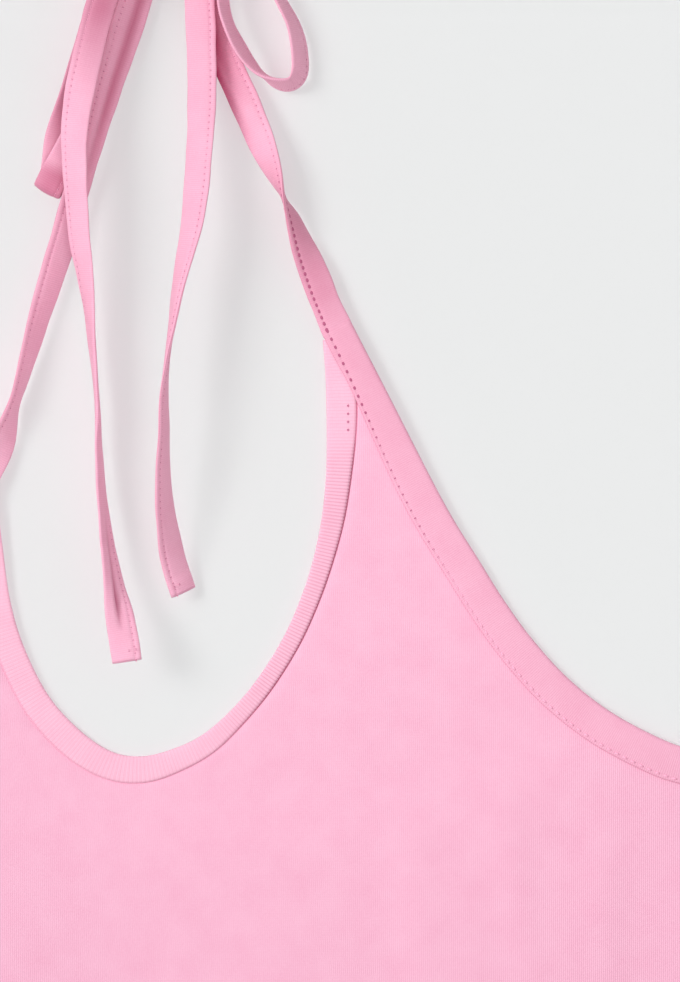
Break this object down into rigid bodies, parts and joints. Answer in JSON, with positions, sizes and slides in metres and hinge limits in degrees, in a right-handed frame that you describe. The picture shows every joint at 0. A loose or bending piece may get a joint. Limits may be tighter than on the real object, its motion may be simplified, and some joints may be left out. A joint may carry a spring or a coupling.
{
  "type": "knitted halter top",
  "caption": "Sleeveless knitted halter top laid flat, with a scooped ribbed neck, bound armholes and straps tied in a bow behind the neck.",
  "frame": {"origin": "middle of the garment's box, on the surface it lies on", "axes": "+X towards the wearer's left, +Y from the hem up to the bow, +Z out of the surface, through the front"},
  "size_m": [0.41, 0.6326, 0.027],
  "materials": {
    "jersey": "pale pink fine knitted jersey, matt",
    "fine_rib": "pale pink fine rib, matt",
    "folded_strip": "pink jersey strip, folded and topstitched"
  },
  "bodies": {
    "root": {"front_panel": "jersey", "back_panel": "jersey", "neck_band": "fine_rib", "armhole_binding_right": "folded_strip", "armhole_binding_left": "folded_strip", "back_edge_binding": "folded_strip", "strap_right": "folded_strip", "strap_left": "folded_strip", "tie_end_right": "folded_strip", "tie_end_left": "folded_strip", "bow_loop_right": "folded_strip", "bow_loop_left": "folded_strip", "bow_knot": "folded_strip"}
  },
  "joints": []
}
